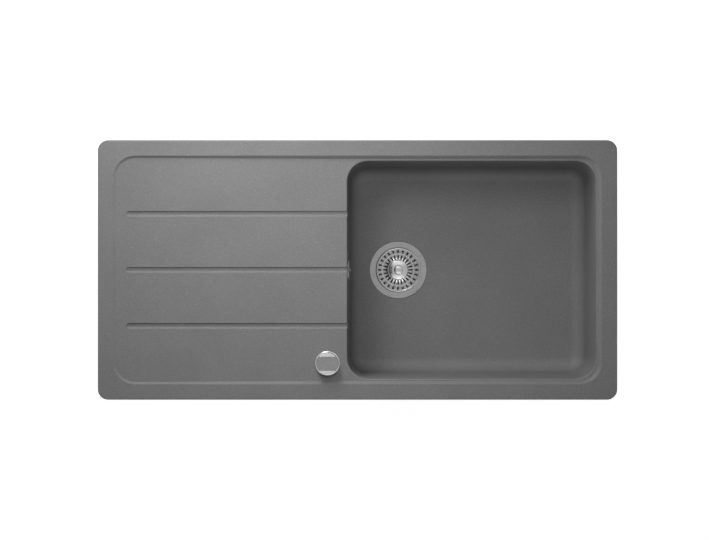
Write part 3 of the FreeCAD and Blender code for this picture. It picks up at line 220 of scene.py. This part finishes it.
def rubber():
    """Black sealing rubber with a dusty bloom and a moulded tooth."""
    m = Shader("rubber", Specular_IOR_Level=0.3)
    bloom = m.noise(160, 5, 0.7)
    m.colour(m.ramp(bloom, (0.35, grey(0.018)), (0.75, grey(0.045, (1.0, 0.99, 0.97)))))
    m.rough(bloom, 0.6, 0.85)
    m.bump(m.noise(1800, 3), 0.00005, 0.6)
    return m.material


def zinc(name, level, tint):
    """Bright zinc plating: mottled crystals under a passivated film."""
    m = Shader(name, Metallic=1.0)
    crystal = m.grains(900)
    cloud = m.noise(150, 5, 0.65)
    shade = m.mix(0.35, cloud, crystal)
    m.colour(m.ramp(shade, (0.3, grey(level * 0.8, tint)), (0.7, grey(level * 1.1, tint))))
    m.rough(cloud, 0.28, 0.46)
    m.bump(m.mix(0.4, crystal, m.noise(700, 4)), 0.00003, 0.5)
    return m.material


WASTE = (0.082, 0.0, 0.0)
KNOB = (-0.058, -0.180, 0.0)

# Name, grey level, lowest and highest roughness, and what else the material takes
looks = {
    "granite": granite(),
    "flange": brushed("flange_steel", 0.54, 0.22, 0.36, WASTE),
    "basket": brushed("basket_steel", 0.82, 0.12, 0.22, WASTE),
    "chrome": plated("chrome", 0.72, 0.1, 0.2),
    "knob": brushed("satin_chrome", 0.46, 0.16, 0.3),
    "steel": brushed("stainless_steel", 0.5, 0.25, 0.42),
    # The overflow cover's steel is the stainless steel painted darker, which dims its reflected streak:
    # painted shade
    "cover": brushed("cover_steel", 0.34, 0.3, 0.45),
    "zinc": zinc("zinc_plate", 0.55, (1.0, 0.99, 0.95)),
    "brass": plated("turned_brass", 0.62, 0.24, 0.38, (1.0, 0.74, 0.36)),
    "rubber": rubber(),
    "white": plastic("white_polypropylene", 0.7, 0.34, 0.5, (1.0, 0.995, 0.98)),
    "black": plastic("black_nylon", 0.028, 0.4, 0.6),
    "grey_plastic": plastic("grey_acetal", 0.18, 0.36, 0.52, (0.98, 1.0, 1.02)),
}
wears = {
    "granite": ["sink_body"],
    "flange": ["waste_flange", "centre_screw"],
    "basket": ["strainer_basket", "basket_knob"],
    "chrome": ["knob_rosette"],
    "knob": ["control_knob"],
    "cover": ["overflow_cover", "overflow_screw"],
    "steel": ["lift_pin", "cam_shaft", "spindle", "knob_set_screw", "valve_screws", "drive_screws"],
    "brass": ["clip_inserts", "control_nut"],
    "rubber": ["flange_seal", "cup_seal", "waste_gasket", "shaft_seal", "control_seal", "overflow_gasket",
               "slip_seal_upper", "slip_seal_lower", "basket_seal"],
    "white": ["waste_body", "overflow_elbow", "overflow_pipe", "slip_nut_upper", "slip_nut_lower"],
    "grey_plastic": ["valve_drum", "drive_drum", "shaft_bush"],
    "black": ["basket_plug", "valve_housing", "valve_cover", "valve_gland", "control_bushing",
              "drive_housing", "drive_cover", "drive_gland"],
    "zinc": [name for name in nodes if name.startswith(("clip_screw", "clip_claw"))] + ["control_washer"],
}
for look, names in wears.items():
    for name in names:
        piece = nodes[name]
        if not piece.material_slots:
            piece.data.materials.append(None)
        for holder in piece.material_slots:
            holder.material = looks[look]

# ---------------------------------------------------------------------------------------------------------
# Threads and grip ribs, which ride on the bodies of the smooth pieces that carry them
# ---------------------------------------------------------------------------------------------------------
MM = 0.001
UP = ((1, 0, 0), (0, 1, 0), (0, 0, 1))
ALONG_X = ((0, 1, 0), (0, 0, 1), (1, 0, 0))
FOOT_OVERLAP = 0.1      # how deep a ridge's foot lies in its cylinder, as a share of the ridge's height


def add_piece(name, shape, body, look):
    """A smooth piece from points and faces or from a bmesh, which rides on a body."""
    mesh = bpy.data.meshes.new(name)
    if isinstance(shape, bmesh.types.BMesh):
        shape.to_mesh(mesh)
        shape.free()
    else:
        points, faces = shape
        mesh.from_pydata(points, [], faces)
        mesh.update()
    mesh.materials.append(looks[look])
    for face in mesh.polygons:
        face.use_smooth = True
    piece = bpy.data.objects.new(name, mesh)
    bpy.context.scene.collection.objects.link(piece)
    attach(piece, body)
    return piece


def placed(axes, centre, radius, turn, height):
    """The point at a radius, angle and height round a centre line, which runs along the last of the axes."""
    parts = (radius * math.cos(turn), radius * math.sin(turn), height)
    return tuple(sum(part * axis[i] for part, axis in zip(parts, axes)) + centre[i] for i in range(3))


def add_thread(name, centre, low, high, radius, depth, pitch, body, look, sides=26):
    """A helical ridge round a cylinder, which fades out at both ends."""
    steps = round((high - low - pitch) / pitch * sides)
    points, faces = [], []
    for step in range(steps + 1):
        turn = 2 * math.pi * step / sides
        middle = low + pitch * (0.5 + step / sides)
        rise = depth * min(1.0, step / sides, (steps - step) / sides)
        foot = -FOOT_OVERLAP * depth
        for reach, shift in ((foot, -0.46), (rise, -0.1), (rise, 0.1), (foot, 0.46)):
            points.append(placed(UP, centre, radius + reach, turn, middle + shift * pitch))
        if step:
            first = 4 * step
            faces += [(first - 4 + k, first + k, first + k + 1, first - 3 + k) for k in range(3)]
    add_piece(name, (points, faces), body, look)


def add_grip_ribs(name, centre, low, high, axes):
    """Round ribs along a slip nut's side, with sloping ends."""
    points, faces = [], []
    section = [(math.cos(math.pi * k / 6), math.sin(math.pi * k / 6)) for k in range(7)]
    half = 0.28 * 2 * math.pi / GRIP_RIBS
    for rib in range(GRIP_RIBS):
        turn = 2 * math.pi * rib / GRIP_RIBS
        first = len(points)
        for height, rise in ((low, 0.0), (low + RIB_PROUD, 1.0), (high - RIB_PROUD, 1.0), (high, 0.0)):
            for across, up in section:
                reach = nut_radius + RIB_PROUD * (up * rise - 0.12)
                points.append(placed(axes, centre, reach, turn + half * across, height))
        for row in range(3):
            for k in range(6):
                a = first + 7 * row + k
                faces.append((a, a + 1, a + 8, a + 7))
    add_piece(name, (points, faces), "sink", "white")


def middle_of(name):
    low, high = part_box(name)
    return [(a + b) / 2 for a, b in zip(low, high)]


SCREW_CORE = 3.0 * MM
SCREW_SHANK = 11.8 * MM
SPIGOT_RADIUS = 23.9 * MM
SPIGOT_THREAD = 24.5 * MM
RUN_IN = 0.6 * MM
GRIP_RIBS = 28
RIB_PROUD = 0.9 * MM
RIB_MARGIN = 1.0 * MM

for name in [name for name in nodes if name.startswith("clip_screw_")]:
    low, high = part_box(name)
    corner = name.replace("clip_screw_", "")
    add_thread(f"thread_{corner}", (*middle_of(name)[:2], 0), low[2] + SCREW_SHANK, high[2] - RUN_IN,
               SCREW_CORE, 0.22 * MM, 1.0 * MM, f"screw_{corner}", "zinc")
spigot_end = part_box("waste_body")[0][2]
add_thread("thread_outlet", WASTE, spigot_end + RUN_IN, spigot_end + SPIGOT_THREAD,
           SPIGOT_RADIUS, 0.7 * MM, 2.3 * MM, "sink", "white", sides=72)
low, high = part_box("slip_nut_upper")
nut_radius = (high[1] - low[1]) / 2
add_grip_ribs("grip_upper", (*middle_of("slip_nut_upper")[:2], 0),
              low[2] + RIB_MARGIN, high[2] - RIB_MARGIN, UP)
low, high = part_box("slip_nut_lower")
add_grip_ribs("grip_lower", (0, *middle_of("slip_nut_lower")[1:]),
              low[0] + RIB_MARGIN, high[0] - RIB_MARGIN, ALONG_X)

# ---------------------------------------------------------------------------------------------------------
# The basket, its grip, the flange's rolled lip and the knob, with finer forms than their solids
# ---------------------------------------------------------------------------------------------------------
# Sizes from here to the knob are in millimetres; a profile is radii and heights over the piece's seat
TEETH = 24
HOLES = 60
HOLE_HALF = 1.2
HOLE_CORNERS = (210, 270, 330, 30, 90, 150)
BASKET_SHEET = 0.9
BASKET_LIP = ((40.4, -3.2), (41.0, -1.2), (41.4, -0.4), (41.5, 0.0), (41.2, 0.25), (40.7, 0.2))
BASKET_WALL = ((33.4, -22.1), (34.75, -18.3), (36.1, -14.5), (37.45, -10.7), (38.8, -6.9))
BASKET_FOOT = ((31.9, -22.7), (32.7, -22.7), (33.2, -22.5), (33.4, -22.1))
BASKET_DOME = ((20.0, -18.5), (19.7, -17.6), (19.0, -16.9), (17.6, -16.5), (16.2, -16.15), (14.8, -15.8),
               (13.4, -15.45), (12.0, -15.1), (10.5, -14.8), (9.0, -14.6), (6.0, -14.4), (3.0, -14.3))
GRIP = ((0.4, -2.0), (3.0, -2.2), (4.2, -2.45), (5.4, -2.75), (6.6, -3.05), (7.8, -3.4), (8.6, -4.0),
        (8.9, -4.8), (8.9, -5.6), (8.4, -6.8), (7.2, -8.0), (6.0, -9.2), (5.4, -10.6), (5.6, -12.4),
        (6.6, -13.7), (7.8, -14.4))
FLANGE_LIP = ((41.9, 0.0), (42.2, 0.3), (42.6, 0.5), (43.0, 0.62), (43.4, 0.62), (43.8, 0.5), (44.2, 0.3),
              (44.5, 0.0))
ROSETTE_BEAD = ((21.2, 0.0), (21.4, 0.3), (21.8, 0.45), (22.2, 0.35), (23.4, -0.75), (23.7, -1.1),
                (23.7, -1.7))
# Radii of the rings across the floor's slots, with half of a slot's width there
SLOT_ROWS = ((20.8, 0.0), (21.2, 1.0), (22.1, 1.4), (26.0, 1.5), (29.8, 1.5), (30.7, 1.1), (31.2, 0.0))
FLOOR_INSIDE = (20.5, -18.85)
FLOOR_FALL = 0.36


def slot_floor(radius):
    """The height of the basket's slotted floor, which falls outwards."""
    return FLOOR_INSIDE[1] - FLOOR_FALL * (radius - FLOOR_INSIDE[0])


def round_edges(piece, width, segments, angle):
    rounded = piece.modifiers.new("rounded", "BEVEL")
    rounded.width = width * MM
    rounded.segments = segments
    rounded.limit_method = "ANGLE"
    rounded.angle_limit = math.radians(angle)
    return rounded


class Sheet:
    """A pressed sheet built from rings of points round an upright axis, in millimetres from its seat."""

    def __init__(self, centre):
        self.centre = centre
        self.mesh = bmesh.new()

    def point(self, radius, height, turn):
        return self.mesh.verts.new(placed(UP, self.centre, radius * MM, turn, height * MM))

    def ring(self, radius, height, turns):
        return [self.point(radius, height, turn) for turn in turns]

    def strip(self, first, second, skipped=()):
        """Faces between two closed rings, apart from the skipped places of every four."""
        for k in range(len(first)):
            if k % 4 not in skipped:
                after = (k + 1) % len(first)
                self.mesh.faces.new((first[k], first[after], second[after], second[k]))

    def lathe(self, profile, turns, start=None):
        """Faces from the starting ring along the profile; returns the last ring."""
        for radius, height in profile:
            ring = self.ring(radius, height, turns)
            if start:
                self.strip(start, ring)
            start = ring
        return start

    def piece(self, name, body, look, slot, edge, thick=0.0):
        """Weld, thicken and round the sheet, and make it a piece."""
        bmesh.ops.remove_doubles(self.mesh, verts=self.mesh.verts, dist=1e-6)
        bmesh.ops.recalc_face_normals(self.mesh, faces=self.mesh.faces)
        made = add_piece(name, self.mesh, body, look)
        if thick:
            sheet = made.modifiers.new("sheet", "SOLIDIFY")
            sheet.thickness = thick * MM
            sheet.offset = -1.0
        round_edges(made, edge, 2, 35)
        return made


def evenly(count):
    return [2 * math.pi * k / count for k in range(count)]


def pierce_wall(sheet, turns):
    """Staggered rows of six-sided holes between the rings of the basket's wall; returns the top ring."""
    rows = [sheet.ring(*level, turns) for level in BASKET_WALL]
    for level in range(len(rows) - 1):
        (low_radius, low), (high_radius, high) = BASKET_WALL[level:level + 2]
        steep = math.hypot(high_radius - low_radius, high - low)
        for hole in range(HOLES):
            at = [(2 * hole + level % 2 + step) % len(turns) for step in range(3)]
            outer = [rows[level][k] for k in at] + [rows[level + 1][k] for k in reversed(at)]
            inner = []
            for way in HOLE_CORNERS:
                up = 0.5 + math.sin(math.radians(way)) * HOLE_HALF / steep
                radius = low_radius + (high_radius - low_radius) * up
                along = math.cos(math.radians(way)) * HOLE_HALF / radius
                inner.append(sheet.point(radius, low + (high - low) * up, turns[at[1]] + along))
            for k in range(6):
                sheet.mesh.faces.new((outer[k], outer[(k + 1) % 6], inner[(k + 1) % 6], inner[k]))
    return rows[-1]


def slot_floor_rings(sheet):
    """The slotted floor, with a slot between the first two points of every four; returns its end rings."""
    space = 2 * math.pi / TEETH
    rings = []
    for radius, half in SLOT_ROWS:
        turns = []
        for middle in evenly(TEETH):
            turns += [middle - math.asin(half / radius), middle + math.asin(half / radius),
                      middle + space / 3, middle + space * 2 / 3]
        rings.append(sheet.ring(radius, slot_floor(radius), turns))
    for inner, outer in zip(rings, rings[1:]):
        sheet.strip(inner, outer, skipped=(0,))
    return rings[0], rings[-1]


def add_basket(centre):
    """Rolled rim, a wall with four staggered rows of holes, a slotted floor and a domed middle."""
    sheet = Sheet(centre)
    turns = evenly(2 * HOLES)
    sheet.lathe(BASKET_LIP, turns, pierce_wall(sheet, turns))
    inside, outside = ([point for k, point in enumerate(ring) if k % 4] for ring in slot_floor_rings(sheet))
    thirds = evenly(3 * TEETH)
    sheet.lathe(BASKET_FOOT, thirds, outside)
    sheet.mesh.faces.new(sheet.lathe(BASKET_DOME, thirds, inside))
    made = sheet.piece("basket", "basket", "basket", "polished_steel", 0.15, BASKET_SHEET)
    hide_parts("strainer_basket")


def add_turned(name, centre, profile, body, look, slot, closed=False):
    sheet = Sheet(centre)
    turns = evenly(TURNED_SIDES)
    first = sheet.ring(*profile[0], turns)
    sheet.lathe(profile[1:], turns, first)
    if closed:
        sheet.mesh.faces.new(first)
    return sheet.piece(name, body, look, slot, 0.1)


TURNED_SIDES = 72
waste_seat = (WASTE[0], WASTE[1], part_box("basket_knob")[1][2] - GRIP[0][1] * MM)
add_basket(waste_seat)
grip = add_turned("basket_grip", waste_seat, GRIP, "basket", "basket", "polished_steel", closed=True)
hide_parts("basket_knob")
add_turned("flange_lip", waste_seat, FLANGE_LIP, "sink", "basket", "polished_steel")
knob_seat = (KNOB[0], KNOB[1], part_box("knob_rosette")[1][2])
add_turned("rosette_bead", knob_seat, ROSETTE_BEAD, "sink", "chrome", "chrome")

KNOB_RADIUS = 21.2
KNOB_FLAT = 13.6
KNOB_SLOPE = 24.0
KNOB_SIDES = 96


def add_knob():
    """Round knob with a flat grip between two planed finger faces."""
    low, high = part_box("control_knob")
    radius = KNOB_RADIUS * MM
    body = bmesh.new()
    bmesh.ops.create_cone(body, cap_ends=True, segments=KNOB_SIDES, radius1=radius, radius2=radius,
                          depth=high[2] - low[2])
    bmesh.ops.translate(body, verts=body.verts, vec=(KNOB[0], KNOB[1], (low[2] + high[2]) / 2))
    for side in (-1, 1):
        slope = math.radians(KNOB_SLOPE)
        where = (KNOB[0], KNOB[1] + side * KNOB_FLAT * MM, high[2])
        everything = body.verts[:] + body.edges[:] + body.faces[:]
        cut = bmesh.ops.bisect_plane(body, geom=everything, plane_co=where, clear_outer=True,
                                     plane_no=(0, side * math.sin(slope), math.cos(slope)))
        edges = [part for part in cut["geom_cut"] if isinstance(part, bmesh.types.BMEdge)]
        bmesh.ops.contextual_create(body, geom=edges)
    bmesh.ops.recalc_face_normals(body, faces=body.faces)
    made = add_piece("knob", body, "knob", "knob")
    made.data.set_sharp_from_angle(angle=math.radians(30))
    round_edges(made, 0.5, 3, 20).harden_normals = True
    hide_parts("control_knob")


add_knob()

# ---------------------------------------------------------------------------------------------------------
# Stage, light and camera
# ---------------------------------------------------------------------------------------------------------
scene = bpy.context.scene
scene.view_settings.view_transform = "Standard"


def lamp(name, place, target, size, power, mirrored=True):
    """A round soft lamp that points at the target."""
    data = bpy.data.lights.new(name, "AREA")
    data.shape = "DISK"
    data.size = size
    data.energy = power
    made = bpy.data.objects.new(name, data)
    made.location = place
    made.rotation_euler = (Vector(target) - Vector(place)).to_track_quat("-Z", "Y").to_euler()
    made.visible_glossy = mirrored
    made.visible_camera = False
    scene.collection.objects.link(made)


lamp("key", (-0.34, 0.95, 0.46), (-0.15, 0.0, 0.0), 0.5, 4.5)
lamp("low", (-0.25, 0.62, 0.42), (-0.15, 0.0, 0.0), 0.3, 0.9)
lamp("left", (-0.3, 0.5, 0.8), (-0.15, 0.1, 0.0), 0.3, 4.0, mirrored=False)
lamp("high", (0.05, 0.3, 1.9), (0.05, 0.0, 0.0), 0.4, 8.4, mirrored=False)
lamp("bowl", (-0.02, 0.1, 0.7), (0.03, -0.02, -0.19), 0.25, 1.2, mirrored=False)
lamp("front", (0.3, -1.3, 1.3), (0.2, 0.0, 0.0), 0.8, 1.1)
# Lamps lower than the rim, which light the sides and nothing that the camera's own view shows
for name, x, y in (("front", 0.0, -1.7), ("back", 0.0, 1.7), ("left", -1.9, 0.0), ("right", 1.9, 0.0)):
    lamp(f"side_{name}", (x, y, -0.12), (0.0, 0.0, -0.14), 0.6, 9.0, mirrored=False)

STUDIO_CEILING = 0.5
STUDIO_FILL = 0.058


def studio_world():
    """White round the horizon, a grey ceiling and a bright strip at the back and at the front."""
    world = bpy.data.worlds.new("studio")
    scene.world = world
    world.use_nodes = True
    tree = world.node_tree
    tree.nodes.clear()

    def node(kind, *sources):
        made = tree.nodes.new(kind)
        for socket, source in zip(made.inputs, sources):
            if isinstance(source, bpy.types.NodeSocket):
                tree.links.new(source, socket)
            elif source is not None:
                socket.default_value = source
        return made

    def ramp(source, *stops):
        made = node("ShaderNodeValToRGB", source)
        band = made.color_ramp
        while len(band.elements) < len(stops):
            band.elements.new(0.5)
        for element, (place, level) in zip(band.elements, stops):
            element.position = place
            element.color = (level, level, level, 1.0)
        return made.outputs["Color"]

    way = node("ShaderNodeSeparateXYZ", node("ShaderNodeTexCoord").outputs["Generated"])
    aside = node("ShaderNodeMath", way.outputs["Y"])
    aside.operation = "ABSOLUTE"
    strips = ramp(aside.outputs[0], (0.3, STUDIO_CEILING), (0.5, 1.0))
    horizon = ramp(way.outputs["Z"], (0.1, 1.0), (0.3, 0.0))
    either = node("ShaderNodeMix", None)
    either.data_type = "RGBA"
    either.blend_type = "LIGHTEN"
    either.inputs[0].default_value = 1.0
    tree.links.new(strips, either.inputs[6])
    tree.links.new(horizon, either.inputs[7])
    path = node("ShaderNodeLightPath")
    shiny = node("ShaderNodeMath", path.outputs["Is Glossy Ray"], path.outputs["Is Transmission Ray"])
    shiny.operation = "MAXIMUM"
    fill = node("ShaderNodeBackground", (0.98, 0.99, 1.0, 1.0), STUDIO_FILL)
    mirrored = node("ShaderNodeBackground", either.outputs[2], 1.0)
    plain = node("ShaderNodeBackground", (1.0, 1.0, 1.0, 1.0), 1.0)
    lit = node("ShaderNodeMixShader", shiny.outputs[0], fill.outputs[0], mirrored.outputs[0])
    seen = node("ShaderNodeMixShader", path.outputs["Is Camera Ray"], lit.outputs[0], plain.outputs[0])
    node("ShaderNodeOutputWorld", seen.outputs[0])


studio_world()

FLOOR_HALF_WIDTH = 12.0
FLOOR_GAP = 0.5 * MM
FLOOR_GREY = 0.5
FLOOR_GLOW = 0.9


def pale_floor():
    """A grey floor that keeps the object's shadow and looks white to the camera."""
    sheet = bmesh.new()
    bmesh.ops.create_grid(sheet, x_segments=2, y_segments=2, size=FLOOR_HALF_WIDTH)
    mesh = bpy.data.meshes.new("floor")
    sheet.to_mesh(mesh)
    sheet.free()
    floor = bpy.data.objects.new("floor", mesh)
    floor.location.z = cad_box[0][2] - FLOOR_GAP
    scene.collection.objects.link(floor)
    material = bpy.data.materials.new("pale_floor")
    material.use_nodes = True
    tree = material.node_tree
    tree.nodes.clear()
    matt = tree.nodes.new("ShaderNodeBsdfDiffuse")
    matt.inputs["Color"].default_value = grey(FLOOR_GREY)
    path = tree.nodes.new("ShaderNodeLightPath")
    level = tree.nodes.new("ShaderNodeMath")
    level.operation = "MULTIPLY"
    level.inputs[1].default_value = FLOOR_GLOW
    glow = tree.nodes.new("ShaderNodeEmission")
    both = tree.nodes.new("ShaderNodeAddShader")
    out = tree.nodes.new("ShaderNodeOutputMaterial")
    tree.links.new(path.outputs["Is Camera Ray"], level.inputs[0])
    tree.links.new(level.outputs[0], glow.inputs["Strength"])
    tree.links.new(matt.outputs[0], both.inputs[0])
    tree.links.new(glow.outputs[0], both.inputs[1])
    tree.links.new(both.outputs[0], out.inputs["Surface"])
    mesh.materials.append(material)


pale_floor()

# The camera looks straight down. In the photograph the rim's middle is at RIM_MIDDLE, in pixels, and
# PIXELS_A_METRE is the scale at the rim's height
IMAGE_WIDTH, IMAGE_HEIGHT = 716.0, 540.0
RIM_MIDDLE = (357.55, 269.9)
PIXELS_A_METRE = 519.7
RIM_Z = 8.0 * MM
CAMERA_HEIGHT = 4.2
SENSOR_WIDTH = 36.0
camera_data = bpy.data.cameras.new("camera")
camera_data.sensor_width = SENSOR_WIDTH
camera_data.lens = PIXELS_A_METRE * SENSOR_WIDTH / IMAGE_WIDTH * CAMERA_HEIGHT
camera = bpy.data.objects.new("camera", camera_data)
camera.location = ((IMAGE_WIDTH / 2 - RIM_MIDDLE[0]) / PIXELS_A_METRE,
                   (RIM_MIDDLE[1] - IMAGE_HEIGHT / 2) / PIXELS_A_METRE, RIM_Z + CAMERA_HEIGHT)
camera.rotation_euler = (0.0, 0.0, 0.0)
scene.collection.objects.link(camera)
scene.camera = camera
